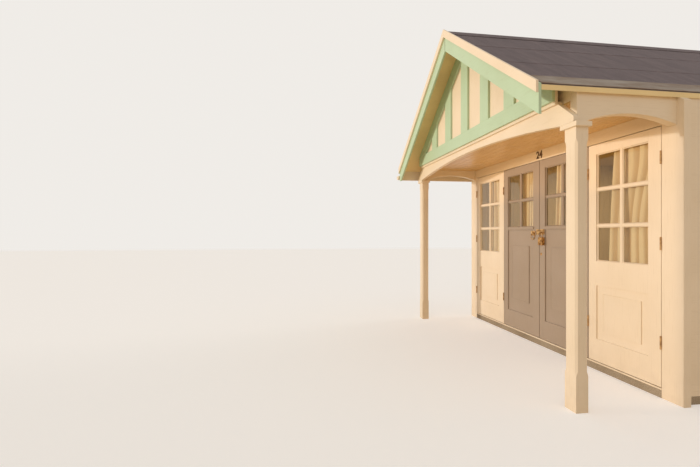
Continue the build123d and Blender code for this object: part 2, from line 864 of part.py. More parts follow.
def hinge_half(x, side, heights, which):
    """Knuckles and plate on one side (-1 or 1) of the joint at x."""
    edge = x + side * hinge_gap / 2
    inner = edge - side * plate_thickness
    with BuildPart() as piece:
        for height in heights:
            for i in which:
                add(knuckles(x, height, (i,), knuckle_gap / 2))
                low = height - hinge_length / 2 + i * knuckle_length + knuckle_gap / 2
                add(block(min(x, edge), max(x, edge), hinge_y, leaf_face, low,
                          low + knuckle_length - knuckle_gap))
            add(block(min(inner, edge), max(inner, edge), leaf_face, leaf_face + plate_depth,
                      height - hinge_length / 2, height + hinge_length / 2))
    return piece.part


outer_half = tuple(range(0, knuckle_count, 2))
inner_half = tuple(range(1, knuckle_count, 2))

with BuildPart() as side_hinges:
    for side in (-1, 1):
        x = side * (opening_half + side_gap / 2)
        for height in side_hinge_heights:
            add(knuckles(x, height, range(knuckle_count), 0))
            add(plate(x - side_gap / 2, x + side_gap / 2, height))
save(side_hinges.part, "side_hinges")

with BuildPart() as fixed_hinge_halves:
    add(hinge_half(-hinge_x, -1, door_hinge_heights, outer_half))
    add(hinge_half(hinge_x, 1, door_hinge_heights, outer_half))
save(fixed_hinge_halves.part, "fixed_hinge_halves")

with BuildPart() as door_hinges_left:
    add(hinge_half(-hinge_x, 1, door_hinge_heights, inner_half))
save(door_hinges_left.part, "door_hinges_left")

with BuildPart() as door_hinges_right:
    add(hinge_half(hinge_x, -1, door_hinge_heights, inner_half))
save(door_hinges_right.part, "door_hinges_right")

# Hasp and staple on the right door, near the meeting edge
hasp_x0 = door_in + hasp_inset
staple_x = hasp_x0 + staple_share * hasp_width
hasp_front = leaf_face - hasp_thickness
staple_front = hasp_front - staple_reach
with BuildPart() as door_hasp:
    add(block(hasp_x0, hasp_x0 + hasp_width, hasp_front, leaf_face,
              hasp_level - hasp_height / 2, hasp_level + hasp_height / 2))
    with BuildSketch(side_plane(staple_x - staple_wire / 2)):
        with Locations(((hasp_front + staple_front) / 2, hasp_level)):
            Rectangle(staple_reach, staple_rise)
        with Locations(((hasp_front + staple_front + staple_wire) / 2, hasp_level)):
            Rectangle(staple_reach - staple_wire, staple_rise - 2 * staple_wire,
                      mode=Mode.SUBTRACT)
    extrude(amount=staple_wire)
save(door_hasp.part, "door_hasp")

# Plate for the hasp on the left door, in line with the one on the right
with BuildPart() as hasp_plate_left:
    add(block(-hasp_x0 - hasp_plate_width, -hasp_x0, hasp_front, leaf_face,
              hasp_level - hasp_height / 2, hasp_level + hasp_height / 2))
save(hasp_plate_left.part, "hasp_plate_left")

# Padlock that hangs from the staple, its shackle on the lower leg
shackle_y = (hasp_front + staple_front + staple_wire) / 2
crown_low = hasp_level - staple_rise / 2 + staple_wire + 2 * seat_gap
crown_mid = crown_low + shackle_wire / 2
shackle_half = (shackle_width - shackle_wire) / 2
body_top = crown_low + shackle_wire - shackle_height
with BuildPart() as padlock:
    with BuildSketch(front_plane(shackle_y - padlock_thickness / 2)) as padlock_outline:
        with Locations((staple_x, body_top - padlock_height / 2)):
            RectangleRounded(padlock_width, padlock_height, padlock_corner)
    extrude(amount=-padlock_thickness)
    with BuildLine(front_plane(shackle_y)) as shackle_path:
        Line((staple_x - shackle_half, body_top), (staple_x - shackle_half, crown_mid - shackle_half))
        ThreePointArc((staple_x - shackle_half, crown_mid - shackle_half), (staple_x, crown_mid),
                      (staple_x + shackle_half, crown_mid - shackle_half))
        Line((staple_x + shackle_half, crown_mid - shackle_half), (staple_x + shackle_half, body_top))
    with BuildSketch(Plane.XY.offset(body_top)):
        with Locations((staple_x - shackle_half, shackle_y)):
            Circle(shackle_wire / 2)
    sweep(path=shackle_path.line)
save(padlock.part, "padlock")

# Ring pull on the left door
pull_x = -door_in - pull_inset
pull_front = leaf_face - pull_plate_thickness
with BuildPart() as door_pull:
    add(block(pull_x - pull_plate_width / 2, pull_x + pull_plate_width / 2, pull_front, leaf_face,
              pull_level - pull_plate_height / 2, pull_level + pull_plate_height / 2))
    fillet(door_pull.edges().filter_by(Axis.Y), pull_plate_corner)
    with BuildSketch(front_plane(pull_front)):
        with Locations((pull_x, pull_level - pull_ring_drop)):
            Circle(pull_ring_radius)
            Circle(pull_ring_radius - pull_ring_wire, mode=Mode.SUBTRACT)
    extrude(amount=pull_ring_wire)
save(door_pull.part, "door_pull")
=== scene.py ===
import bmesh
import bpy
import math
import numpy as np
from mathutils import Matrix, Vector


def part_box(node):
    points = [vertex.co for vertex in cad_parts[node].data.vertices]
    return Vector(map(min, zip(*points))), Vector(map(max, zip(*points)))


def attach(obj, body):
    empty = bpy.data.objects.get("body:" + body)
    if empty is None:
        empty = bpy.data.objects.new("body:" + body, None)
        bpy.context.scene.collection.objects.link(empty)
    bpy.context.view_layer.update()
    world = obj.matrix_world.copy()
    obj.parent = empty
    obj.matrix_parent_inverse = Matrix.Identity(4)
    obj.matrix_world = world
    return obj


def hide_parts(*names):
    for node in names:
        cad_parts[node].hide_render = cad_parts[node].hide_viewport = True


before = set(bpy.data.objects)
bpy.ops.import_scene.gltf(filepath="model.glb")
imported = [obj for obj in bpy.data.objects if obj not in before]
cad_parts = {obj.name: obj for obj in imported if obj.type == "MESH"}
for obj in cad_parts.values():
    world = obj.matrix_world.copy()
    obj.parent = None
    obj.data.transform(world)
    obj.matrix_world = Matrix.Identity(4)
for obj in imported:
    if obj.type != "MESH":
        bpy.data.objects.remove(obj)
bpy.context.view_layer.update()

# Camera at the photograph's viewing angle: outside the right-hand post, looking along the front.
# Its axis is level, so the horizon lies in the middle of the picture's height.
picture_width = 700
focal_pixels = 425
sensor_width = 36
camera = bpy.data.objects.new("camera", bpy.data.cameras.new("camera"))
camera.location = (4.3763, -4.0458, 1.248)
camera.rotation_euler = (math.radians(90), 0, math.radians(81.17))
camera.data.lens = focal_pixels / picture_width * sensor_width
camera.data.sensor_width = sensor_width
bpy.context.collection.objects.link(camera)
bpy.context.scene.camera = camera


# Concrete base of the room, cast in place and finished with a wood float.
# It is grey, mottled by damp, with fine stones showing in the worn surface.
def new_material(name, roughness=0.6, metallic=0.0):
    """Material with one Principled shader; returns it with its node tree and the shader."""
    material = bpy.data.materials.new(name)
    material.use_nodes = True
    shader = material.node_tree.nodes["Principled BSDF"]
    shader.inputs["Roughness"].default_value = roughness
    shader.inputs["Metallic"].default_value = metallic
    return material, material.node_tree, shader


def noise(tree, scale, stretch=(1, 1, 1), detail=4.0, rough=0.55, shift=(0, 0, 0)):
    """Noise on object coordinates, its pattern drawn out where stretch is below 1."""
    place = tree.nodes.new("ShaderNodeTexCoord")
    mapping = tree.nodes.new("ShaderNodeMapping")
    mapping.inputs["Scale"].default_value = stretch
    mapping.inputs["Location"].default_value = shift
    texture = tree.nodes.new("ShaderNodeTexNoise")
    for socket, number in (("Scale", scale), ("Detail", detail), ("Roughness", rough)):
        texture.inputs[socket].default_value = number
    tree.links.new(place.outputs["Object"], mapping.inputs["Vector"])
    tree.links.new(mapping.outputs["Vector"], texture.inputs["Vector"])
    return texture.outputs["Fac"]


def ramp(tree, value, low, high, first, last):
    """Colour that goes from first to last as value goes from low to high."""
    node = tree.nodes.new("ShaderNodeValToRGB")
    for element, position, colour in zip(node.color_ramp.elements, (low, high), (first, last)):
        element.position = position
        element.color = (*colour, 1)
    tree.links.new(value, node.inputs["Fac"])
    return node.outputs["Color"]


def mixed(tree, share, first, last, kind="MIX"):
    """First and last colour mixed by share; each of the three is a socket or a plain value."""
    node = tree.nodes.new("ShaderNodeMix")
    node.data_type = "RGBA"
    node.blend_type = kind
    for socket, value in zip((node.inputs[0], node.inputs[6], node.inputs[7]), (share, first, last)):
        if isinstance(value, bpy.types.NodeSocket):
            tree.links.new(value, socket)
        else:
            socket.default_value = (*value, 1) if isinstance(value, tuple) else value
    return node.outputs[2]


def relief(tree, shader, height, strength, depth):
    """Small relief of the surface, depth metres high where height is 1."""
    bump = tree.nodes.new("ShaderNodeBump")
    bump.inputs["Strength"].default_value = strength
    bump.inputs["Distance"].default_value = depth
    tree.links.new(height, bump.inputs["Height"])
    tree.links.new(bump.outputs["Normal"], shader.inputs["Normal"])


def finish_node(name, material):
    """Puts a material on a CAD piece that is shown as it is."""
    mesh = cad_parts[name].data
    mesh.materials.clear()
    mesh.materials.append(material)


concrete, tree, shader = new_material("floated_concrete", 0.9)
stones = noise(tree, 160, detail=3)
damp = noise(tree, 1.7, detail=6)
mottle = ramp(tree, damp, 0.35, 0.7, (0.38, 0.31, 0.23), (0.55, 0.47, 0.37))
speckle = ramp(tree, stones, 0.42, 0.66, (0.62, 0.60, 0.56), (1.0, 1.0, 1.0))
tree.links.new(mixed(tree, 1.0, mottle, speckle, "MULTIPLY"), shader.inputs["Base Color"])
relief(tree, shader, stones, strength=0.5, depth=0.002)
finish_node("base_slab", concrete)


# Painted timber of the posts, beams, fascia, door head and sill: planed softwood under old satin paint.
# The grain shows faintly through it, with brush marks, a little grime and dust near the ground.
def spread(tree, value, low, high, out_low, out_high):
    """Value carried from the range low..high to out_low..out_high."""
    node = tree.nodes.new("ShaderNodeMapRange")
    limits = (("From Min", low), ("From Max", high), ("To Min", out_low), ("To Max", out_high))
    for socket, number in limits:
        node.inputs[socket].default_value = number
    tree.links.new(value, node.inputs["Value"])
    return node.outputs["Result"]


def paint(name, colour, grain, shade=0.94, roughness=0.42):
    """Paint of a colour over boards whose grain runs along axis 0, 1 or 2.

    Broad patches dull it by shade, fibres drawn out along the grain darken and raise it, brush
    strokes vary its gloss, and splashed dirt fades out from 20 to 300 mm above the ground.
    """
    material, tree, shader = new_material(name, roughness)
    along = [1.0, 1.0, 1.0]
    along[grain] = 0.05
    fibres = noise(tree, 120, along, detail=5, rough=0.6)
    strokes = noise(tree, 420, along, detail=2, rough=0.5, shift=(3, 1, 2))
    patches = noise(tree, 2.3, detail=6, shift=(1, 5, 2))
    dull = tuple(c * shade * k for c, k in zip(colour, (1.0, 0.985, 0.95)))
    coat = ramp(tree, patches, 0.3, 0.68, dull, colour)
    worn = ramp(tree, fibres, 0.30, 0.44, (0.94, 0.93, 0.91), (1.0, 1.0, 1.0))
    painted = mixed(tree, 1.0, coat, worn, "MULTIPLY")
    place = tree.nodes.new("ShaderNodeTexCoord")
    split = tree.nodes.new("ShaderNodeSeparateXYZ")
    tree.links.new(place.outputs["Object"], split.inputs["Vector"])
    near_ground = spread(tree, split.outputs["Z"], 0.02, 0.30, 1.0, 0.0)
    specks = spread(tree, noise(tree, 9, detail=8), 0.40, 0.75, 0.0, 0.22)
    splash = tree.nodes.new("ShaderNodeMath")
    splash.operation = "MULTIPLY"
    tree.links.new(near_ground, splash.inputs[0])
    tree.links.new(specks, splash.inputs[1])
    dirt = (0.42, 0.33, 0.23)
    tree.links.new(mixed(tree, splash.outputs["Value"], painted, dirt), shader.inputs["Base Color"])
    gloss = spread(tree, strokes, 0.3, 0.7, roughness - 0.08, roughness + 0.12)
    tree.links.new(gloss, shader.inputs["Roughness"])
    relief(tree, shader, fibres, strength=0.35, depth=0.0006)
    return material


def mounted(mesh, name, material, body, sharp=None):
    """Object of a finished mesh, with its material and body.

    It is shaded smooth but for edges sharper than sharp degrees, or flat where sharp is None.
    """
    mesh.materials.clear()
    mesh.materials.append(material)
    if sharp is not None:
        mesh.shade_smooth()
        mesh.set_sharp_from_angle(angle=math.radians(sharp))
    piece = bpy.data.objects.new(name, mesh)
    bpy.context.collection.objects.link(piece)
    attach(piece, body)
    return piece


def eased(node, radius, material, body):
    """Planed copy of a CAD piece: corners welded, edges over 24 degrees rounded to radius."""
    work = bmesh.new()
    work.from_mesh(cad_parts[node].data)
    bmesh.ops.remove_doubles(work, verts=work.verts, dist=2e-5)
    bmesh.ops.dissolve_limit(work, angle_limit=math.radians(1), verts=work.verts, edges=work.edges)
    arrises = [edge for edge in work.edges
               if len(edge.link_faces) == 2 and edge.calc_face_angle(0) > math.radians(24)]
    bmesh.ops.bevel(work, geom=arrises, offset=radius, segments=2, profile=0.5, affect="EDGES",
                    clamp_overlap=True)
    bmesh.ops.triangulate(work, faces=[face for face in work.faces if len(face.verts) > 4])
    mesh = bpy.data.meshes.new(node + "_planed")
    work.to_mesh(mesh)
    work.free()
    piece = mounted(mesh, node + "_planed", material, body, sharp=14)
    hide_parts(node)
    return piece


cream = (0.89, 0.775, 0.62)
cream_upright = paint("cream_paint_upright", cream, grain=2)
cream_level = paint("cream_paint_level", cream, grain=0)
cream_along = paint("cream_paint_along", cream, grain=1)
worn_edge = 0.0025
planed_edge = 0.002
fine_edge = 0.0015
for node in ("front_post_left", "front_post_right", "end_post_left", "end_post_right"):
    eased(node, worn_edge, cream_upright, "hut")
for node in ("post_caps", "front_fascia_arch", "door_head", "door_sill"):
    eased(node, planed_edge, cream_level, "hut")
eased("fascia_cornice", fine_edge, cream_level, "hut")
for node in ("side_beam_left", "side_beam_right"):
    eased(node, worn_edge, cream_along, "hut")


# Boards of the left side and the back: rebated boards laid level, each with a hollow along its top.
# They are nailed over the frame and lap downwards, so that water runs off. The right side is plain.
def grid_faces(rows, columns, rows_closed=False, columns_closed=False):
    """Four-sided faces of a grid whose point (i, j) has the number i * columns + j.

    A closed direction joins its last point to its first.
    """
    i, j = np.meshgrid(np.arange(rows if rows_closed else rows - 1),
                       np.arange(columns if columns_closed else columns - 1), indexing="ij")
    a, b = (i + 1) % rows, (j + 1) % columns
    corners = [i * columns + j, i * columns + b, a * columns + b, a * columns + j]
    return np.stack(corners, -1).reshape(-1, 4)


def outward(mesh):
    """Turns the faces of a closed mesh outwards."""
    work = bmesh.new()
    work.from_mesh(mesh)
    bmesh.ops.recalc_face_normals(work, faces=work.faces)
    work.to_mesh(mesh)
    work.free()


def surface(name, points, material, body, sharp=32, wrap=False, ends=False):
    """Surface through an (n, m, 3) grid of points, n sections of m points each.

    Wrap closes every section, and ends puts a face over the first section and the last.
    """
    n, m = points.shape[:2]
    faces = grid_faces(n, m, columns_closed=wrap).tolist()
    if ends:
        faces += [list(range(m))[::-1], list(range((n - 1) * m, n * m))]
    mesh = bpy.data.meshes.new(name)
    mesh.from_pydata(points.reshape(-1, 3).tolist(), [], faces)
    if wrap:
        outward(mesh)
    return mounted(mesh, name, material, body, sharp)


def boarding(name, axes, run, plain, face, start, end, material):
    """Boards side by side as one closed skin.

    At each place of run, across the boards, a section goes from their plain side to their face at
    the start of the boards, along them to their end, and back to the plain side. The letters of
    axes say which way run, the thickness and the length of the boards lie.
    """
    across, through, along = ("xyz".index(letter) for letter in axes)
    sections = np.empty((len(run), 4, 3))
    sections[:, :, across] = run[:, None]
    sections[:, :, through] = np.stack(np.broadcast_arrays(plain, face, face, plain), -1)
    sections[:, :, along] = np.stack(np.broadcast_arrays(start, start, end, end), -1)
    return surface(name, sections, material, "hut", wrap=True, ends=True)


def lap_boards(length, cover):
    """Heights and depths of lapped boards, from the foot up.

    Each board is 16 mm deep at its foot and 14 mm deep 20 mm under its top. There a quarter of an
    ellipse, 14 mm high and 11 mm deep, leads in to a lip 2 mm deep. The last board is cut off.
    """
    neck = cover - 0.020
    arc = np.linspace(0, math.pi / 2, 5)
    rise = np.concatenate([[0.0, neck], neck + 0.014 * np.sin(arc), [cover - 0.0001]])
    deep = np.concatenate([[0.016, 0.014], 0.002 + 0.011 * np.cos(arc), [0.002]])
    count = math.ceil(length / cover)
    height = (np.arange(count)[:, None] * cover + rise).ravel()
    depth = np.tile(deep, count)
    keep = height < length
    return np.append(height[keep], length), np.append(depth[keep], 0.012)


pitch = math.radians(34)
slope = math.tan(pitch)
ridge = 3.42994
soffit_drop = 0.045836
roof_clearance = 0.004
cladding_gap = 0.0005
board_cover = 0.118
board_thickness = 0.016
boards_foot = 0.050
boards_sunk = 0.002
side_height = 2.172
back_height = 3.31
wall_low, wall_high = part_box("side_wall_left")
back_low, back_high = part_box("back_wall")

height, depth = lap_boards(side_height, board_cover)
sheathing = wall_low.x - cladding_gap
boarding("left_side_boards", "zxy", boards_foot + height, sheathing + boards_sunk, sheathing - depth,
         wall_low.y - cladding_gap, back_high.y - cladding_gap, cream_along)

# The back boards run to the corner, over the ends of the side boards, or to the roof's underside.
height, depth = lap_boards(back_height, board_cover)
z = boards_foot + height
corner = board_thickness + cladding_gap - wall_low.x
half = np.clip((ridge - soffit_drop - z) / slope - roof_clearance, roof_clearance, corner)
sheathing = back_high.y + cladding_gap
boarding("back_boards", "zyx", z, sheathing - boards_sunk, sheathing + depth, -half, half, cream_level)
for node in ("side_wall_left", "back_wall", "party_wall_right"):
    finish_node(node, cream_along)

# Gable: a smooth white panel behind a frame of thick mint boards: a bottom rail, two rakes and studs.
# The boards are screwed to the panel and stand 22 mm proud of it.
mint = (0.53, 0.71, 0.52)
mint_upright = paint("mint_paint_upright", mint, grain=2, shade=0.93)
mint_level = paint("mint_paint_level", mint, grain=0, shade=0.93)
cream_panel = paint("cream_paint_panel", cream, grain=2, shade=0.93, roughness=0.5)
crisp_edge = 0.001
eased("gable_panel", crisp_edge, cream_panel, "hut")
eased("gable_bottom_rail", planed_edge, mint_level, "hut")
eased("gable_rake_boards", planed_edge, mint_level, "hut")
eased("gable_studs", planed_edge, mint_upright, "hut")
for node in ("gable_backing", "front_wall_gable"):
    finish_node(node, cream_level)

# Verge: mint barge boards under the roof's edge, each capped by a white strip. They meet at the apex
# in a mitre that has opened; a dark strip laid in it is painted shadow of the gap. The back has plain
# white barge boards, and a white eaves board runs along the left side.
eased("barge_boards", planed_edge, mint_level, "hut")
eased("verge_strips", planed_edge, cream_level, "hut")
# Painted shadow: a dark strip in the open mitre stands for the shade inside the gap.
mitre_shadow, tree, shader = new_material("painted_mitre_shadow", 0.9)
shader.inputs["Base Color"].default_value = (0.10, 0.12, 0.06, 1)
mitre_width = 0.008
barge_depth = 0.213
strip_foot = 0.065
crack_sunk = 0.0010
crack_proud = 0.0002
barge_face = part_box("barge_boards")[0].y
across = mitre_width / 2 * np.array([-1, -1, 1, 1])
through = barge_face + np.array([crack_sunk, -crack_proud, -crack_proud, crack_sunk])
mitre = np.stack([np.stack([across, through, np.full(4, ridge - drop)], -1)
                  for drop in (barge_depth, strip_foot)])
surface("mitre_line", mitre, mitre_shadow, "hut", wrap=True, ends=True)
eased("back_barge_boards", planed_edge, cream_level, "hut")
eased("eaves_board_left", planed_edge, cream_along, "hut")

# Roof slopes: boards on rafters, painted cream below, where they show under the verge.
# Their upper side is hidden by the felt.
# The cream underside is tinted orange: painted warm light bounced up under the verge.
soffit = paint("cream_paint_soffit_painted_bounce", (0.97, 0.78, 0.43), grain=1, shade=0.85, roughness=0.55)
for node in ("roof_slope_left", "roof_slope_right"):
    finish_node(node, soffit)

# Roof covering: three strips of mineral felt on each slope, lapped downwards and stuck down.
# It is a dark slate colour, faded in streaks, with a fine grit of crushed stone.
felt, tree, shader = new_material("mineral_felt", 0.92)
grit = noise(tree, 700, detail=2)
streaks = noise(tree, 9, (0.25, 1.4, 0.25), detail=6, rough=0.6)
fade = ramp(tree, streaks, 0.32, 0.72, (0.175, 0.147, 0.162), (0.240, 0.201, 0.214))
spots = ramp(tree, grit, 0.40, 0.68, (0.55, 0.55, 0.57), (1.35, 1.3, 1.3))
tree.links.new(mixed(tree, 1.0, fade, spots, "MULTIPLY"), shader.inputs["Base Color"])
relief(tree, shader, grit, strength=0.6, depth=0.0012)


def felt_slope(side, reach, stations):
    """Both skins of the felt on one slope, from the ridge out to reach, at every station.

    The upper skin is the roof's plane less 4.5 mm, plus two crossing sine waves of 0.35 mm each,
    plus 3.5 mm of lift at each strip's lower edge, which grows as a square from 85 to 65 mm above
    that edge and ends there. The lower skin is the plane less 9.8 mm.
    """
    laps = reach * np.array([0.36, 0.68])
    across = np.linspace(0.0006, reach, 120)
    across = np.sort(np.concatenate([across, laps - 0.0004, laps + 0.0004]))
    lift = np.zeros_like(across)
    for edge in (*laps, reach):
        lift += np.where(across <= edge, np.clip((across - edge + 0.085) / 0.02, 0, 1) ** 2, 0)
    y, x = np.meshgrid(stations, across, indexing="ij")
    wave = (np.sin(5.1 * y + 2.3 * x) + np.sin(11.7 * y - 4.1 * x + 1.0)) * 0.00035
    upper = np.stack([side * x, y, ridge - x * slope - 0.0045 + 0.0035 * lift + wave], -1)
    lower = np.stack([side * x, y, ridge - x * slope - 0.0098], -1)
    return np.concatenate([upper, lower[:, ::-1]], 1)


felt_low, felt_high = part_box("roof_covering")
felt_front, felt_back = felt_low.y + 0.0002, felt_high.y - 0.0002
stations = np.linspace(felt_front, felt_back, 90)
for name, side, reach in (("felt_left", -1, -felt_low.x), ("felt_right", 1, felt_high.x - 0.005)):
    sheet = surface(name, felt_slope(side, reach, stations), felt, "hut",
                    wrap=True, ends=True)
    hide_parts("roof_covering")


# Ridge: one strip of the same felt folded over the top and nailed along both edges.
# The fold is soft, and its edges lift a little between the nails.
def ridge_strip_level(x):
    """Height of the strip at x: 9.6 mm over the roof's plane, its fold rounded by taking the root
    of x squared plus 12 mm squared for x, and pressed 45 mm in the metre towards the slope."""
    return ridge + 0.0096 - np.sqrt(x ** 2 + 0.012 ** 2) * slope - 0.045 * np.abs(x)


# Both edges curl up over their last 30 mm, by a sine along the ridge with a wave for each nail. The
# underside lies 4 mm below the top, or 0.5 mm above the roof's plane where that is lower.
strip_half = 0.150
edge_width = 0.030
curl_height = 0.0005
nail_spacing = 0.110
y, x = np.meshgrid(np.linspace(felt_front, felt_back, 160),
                   np.linspace(-strip_half, strip_half, 61), indexing="ij")
edge = np.clip((np.abs(x) - (strip_half - edge_width)) / edge_width, 0, 1)
top = ridge_strip_level(x) + curl_height * (1 + np.sin(2 * math.pi * y / nail_spacing)) * edge
bottom = np.minimum(top - 0.004, ridge - np.abs(x) * slope + 0.0005)
fold = np.concatenate([np.stack([x, y, top], -1), np.stack([x, y, bottom], -1)[:, ::-1]], 1)
cap = surface("felt_ridge", fold, felt, "hut", wrap=True, ends=True)
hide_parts("ridge_strip")


# Clout nails of the felt: flat galvanised heads, gone grey, along both edges of the ridge strip.
# They are driven through the felt at every 110 mm.
def mottled(name, roughness, metallic, scale, low, high, first, last, **pattern):
    """Finish whose colour goes from first to last in patches of noise of that scale."""
    material, tree, shader = new_material(name, roughness, metallic)
    patches = noise(tree, scale, **pattern)
    tree.links.new(ramp(tree, patches, low, high, first, last), shader.inputs["Base Color"])
    return material, tree, shader


def repeated(name, grids, material, body, sharp, rows_closed=False, capped=False):
    """One mesh of like grids of points, (count, n, m, 3), each with its n sections closed.

    Rows_closed joins the last section to the first; capped puts a face over the last section.
    """
    count, n, m = grids.shape[:3]
    starts = np.arange(count)[:, None] * n * m
    faces = grid_faces(n, m, rows_closed, columns_closed=True) + starts[:, :, None]
    faces = faces.reshape(-1, 4).tolist()
    if capped:
        faces += (starts + (n - 1) * m + np.arange(m)).tolist()
    mesh = bpy.data.meshes.new(name)
    mesh.from_pydata(grids.reshape(-1, 3).tolist(), [], faces)
    outward(mesh)
    return mounted(mesh, name, material, body, sharp)


def turned(name, centres, profile, steps, material, body, sharp=40,
           axes=((1, 0, 0), (0, 0, 1), (0, -1, 0))):
    """Turned heads: a profile of (radius, height) points spun round the third axis at each centre.

    A point is the centre, plus radius times the first axis by the cosine and the second by the
    sine of the angle, plus height times the third. The usual axes face the front of the hut.
    """
    angle = np.linspace(0, 2 * math.pi, steps, endpoint=False)[:, None]
    radius, height = np.array(profile).T[:, :, None, None]
    centres = np.array(centres)[:, None, None, :]
    axes = np.broadcast_to(np.array(axes, float), (len(centres), 3, 3))
    across, up, out = (axes[:, axis, None, None, :] for axis in range(3))
    points = centres + radius * (np.cos(angle) * across + np.sin(angle) * up) + height * out
    return repeated(name, points, material, body, sharp, capped=True)


zinc = mottled("grey_zinc", 0.6, 0.5, 200, 0.3, 0.7, (0.16, 0.15, 0.15), (0.34, 0.33, 0.33))[0]
nail_x = 0.138
nail_inset = 0.0278
nail_seat = 0.0012
y = np.tile(np.arange(felt_front + nail_inset, felt_back, nail_spacing), 2)
side = np.repeat([-1.0, 1.0], len(y) // 2)
centres = np.stack([side * nail_x, y, ridge_strip_level(side * nail_x) + nail_seat], -1)
# The nails lean with their slope: across it, along the ridge and out of the felt.
zero = np.zeros_like(y)
axes = np.stack([np.stack([zero + math.cos(pitch), zero, -side * math.sin(pitch)], -1),
                 np.stack([zero, zero + 1, zero], -1),
                 np.stack([side * math.sin(pitch), zero, zero + math.cos(pitch)], -1)], 1)
flat_head = ((0.0055, -0.0010), (0.0052, 0.0010), (0.0030, 0.0014))
turned("felt_nails", centres, flat_head, 10, zinc, "hut", sharp=None, axes=axes)

# Lead of the valley along the party wall, dressed down over the felt.
# It is dull grey with brown water stains and slight dents from the mallet.
lead, tree, shader = mottled("dull_lead", 0.62, 0.35, 7, 0.38, 0.66, (0.20, 0.13, 0.08),
                             (0.34, 0.29, 0.24), stretch=(1, 0.4, 1), detail=7, rough=0.62)
relief(tree, shader, noise(tree, 22, detail=3), strength=0.6, depth=0.004)
finish_node("valley_lining", lead)

# Gutter of white extruded plastic, held by five brackets on the eaves board.
# It is half round with stopped ends, gone slightly yellow, with a trace of algae inside.
plastic = mottled("gutter_plastic", 0.35, 0.0, 5, 0.35, 0.7, (0.70, 0.60, 0.45), (0.88, 0.76, 0.58),
                  stretch=(1, 0.3, 1), detail=6)[0]
for node in ("gutter_left", "gutter_brackets"):
    finish_node(node, plastic)


# Ceiling of the veranda: narrow boards with a small vee at each joint, laid from side to side.
# They are painted cream and nailed up to the joists behind the fascia.
def vee_boards(length, width, groove, deep):
    """Places and depths of boards side by side: flat, but for a vee at each joint, which is groove
    wide to either side of the joint and deep in its middle."""
    joints = np.arange(width, length - groove, width)
    places = (joints[:, None] + np.array([-groove, 0, groove])).ravel()
    depths = np.tile([0.0, deep, 0.0], len(joints))
    return np.concatenate([[0], places, [length]]), np.concatenate([[0], depths, [0]])


low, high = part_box("veranda_ceiling")
place, cut = vee_boards(high.y - low.y, width=0.0955, groove=0.005, deep=0.006)
# Its colour is cream darkened to amber: painted shade under the veranda and painted warm light thrown
# up from the ground.
ceiling_paint_painted_bounce = paint("cream_paint_ceiling_painted_bounce", (0.70, 0.47, 0.20), grain=0, shade=0.88, roughness=0.3)
ceiling = boarding("ceiling_boards", "yzx", low.y + place, high.z, low.z + cut, low.x, high.x,
                   ceiling_paint_painted_bounce)
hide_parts("veranda_ceiling")

# Floor of the room: worn softwood boards laid from the doors to the back, with open joints.
# The boards are bare and brown, with broad dusty streaks along them.
planks, tree, shader = new_material("bare_floor_boards", 0.75)
grain = noise(tree, 60, (1, 0.04, 1), detail=7, rough=0.62)
tone = noise(tree, 3, (1, 0.3, 1), detail=3)
wood = ramp(tree, grain, 0.3, 0.7, (0.20, 0.12, 0.07), (0.42, 0.28, 0.17))
dust = ramp(tree, tone, 0.3, 0.7, (0.26, 0.18, 0.12), (0.45, 0.33, 0.22))
tree.links.new(mixed(tree, 0.6, wood, dust), shader.inputs["Base Color"])
relief(tree, shader, grain, strength=0.4, depth=0.001)
low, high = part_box("floor_boards")
place, cut = vee_boards(high.x - low.x, width=0.1455, groove=0.003, deep=0.007)
floor_planks = boarding("floor_planks", "xzy", low.x + place, low.z, high.z - cut, low.y, high.y,
                        planks)
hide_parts("floor_boards")

# Lining inside the room: upright boards with vee joints on the back and side walls.
# They are painted cream and run from the floor up to the roof.
lining_boards = {"width": 0.108, "groove": 0.005, "deep": 0.005}
lining_thickness = 0.009
lining_clearance = 0.002
lining_foot = high.z + cladding_gap
lining_top = ridge - soffit_drop - lining_clearance
lining_half = high.x - lining_clearance
place, cut = vee_boards(2 * lining_half, **lining_boards)
x = place - lining_half
plain = back_low.y + cladding_gap
boarding("back_lining", "xyz", x, plain, plain - lining_thickness + cut, lining_foot,
         lining_top - np.abs(x) * slope, cream_upright)
front, back = wall_low.y + 0.0025, plain - lining_thickness - 0.001
place, cut = vee_boards(back - front, **lining_boards)
plain = cladding_gap - wall_high.x
for side, name in ((-1, "left_lining"), (1, "right_lining")):
    boarding(name, "yxz", front + place, side * plain, side * (plain - lining_thickness + cut),
             lining_foot, lining_top - plain * slope, cream_upright)

# Leaves of the front: white side leaves that stay shut and two grey doors between them.
# Each is framed in softwood, with glazing bars above and a fielded panel below.
dove = (0.404, 0.325, 0.257)
dove_paint = paint("dove_grey_paint", dove, grain=2, shade=0.92, roughness=0.5)
eased("side_leaf_left", fine_edge, cream_upright, "hut")
eased("side_leaf_right", fine_edge, cream_upright, "hut")
eased("door_leaf_left", fine_edge, dove_paint, "door_left")
eased("door_leaf_right", fine_edge, dove_paint, "door_right")

# Panel fields and putty: each panel has a flat field with square edges, planted on it and glued,
# and each pane has a slope of putty. Both are painted with the leaf.
leaf_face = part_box("side_leaf_left")[0].y
stile = 0.117
rebated_stile = 0.097
bar = 0.022
glass_clearance = 0.0003
field_edge = ((0.0, 0.0122), (0.0, 0.0036), (0.0008, 0.0028), (0.0120, 0.0028), (0.0120, 0.0122))
putty_edge = ((0.0, 0.0178), (0.0, 0.0092), (0.0012, 0.0090), (0.0075, 0.0168), (0.0085, 0.0178))


def mitred(left, right, foot, head, profile):
    """Frame round a rectangle: at its four corners, each (inset, depth) point of the profile lies
    inset inside both sides and depth behind the leaf's face."""
    inset, depth = np.array(profile).T
    x = np.stack([left + inset, right - inset, right - inset, left + inset])
    z = np.stack([foot + inset, foot + inset, head - inset, head - inset])
    return np.stack([x, np.broadcast_to(leaf_face + depth, x.shape), z], -1)


